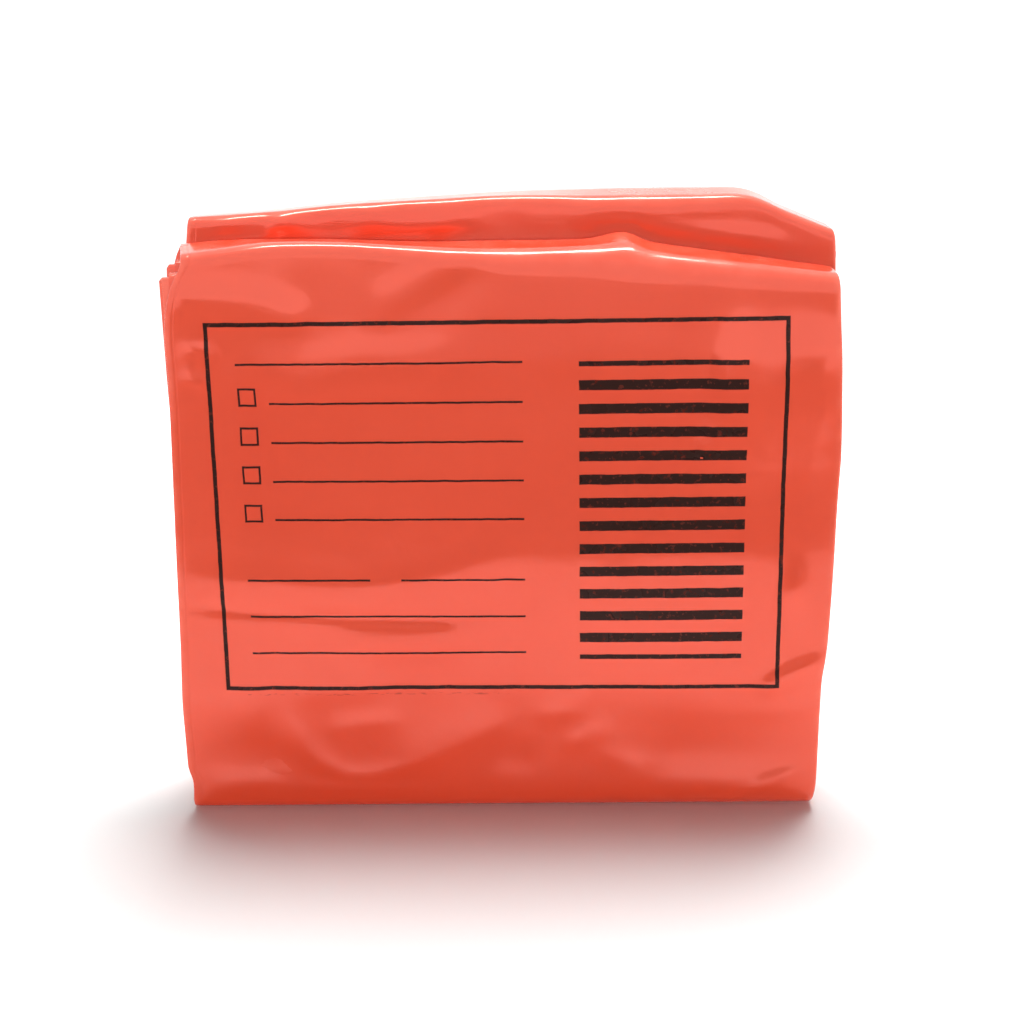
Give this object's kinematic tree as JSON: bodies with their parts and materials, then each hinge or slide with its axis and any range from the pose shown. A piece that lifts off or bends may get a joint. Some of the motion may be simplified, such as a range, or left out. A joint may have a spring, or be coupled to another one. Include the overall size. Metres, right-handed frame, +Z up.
{
  "type": "folded emergency blanket",
  "caption": "Thin film survival blanket folded back and forth into a flat upright pack, with uneven folds along its top and a printed frame on its face.",
  "frame": {"origin": "on the surface that the pack stands on, under the middle of its box", "axes": "+X along the width, +Y from the printed face to the back, +Z up"},
  "size_m": [0.1728, 0.0329, 0.1636],
  "materials": {
    "film": "satin red-orange coated film"
  },
  "bodies": {
    "root": {"folded_blanket": "film"}
  },
  "joints": []
}
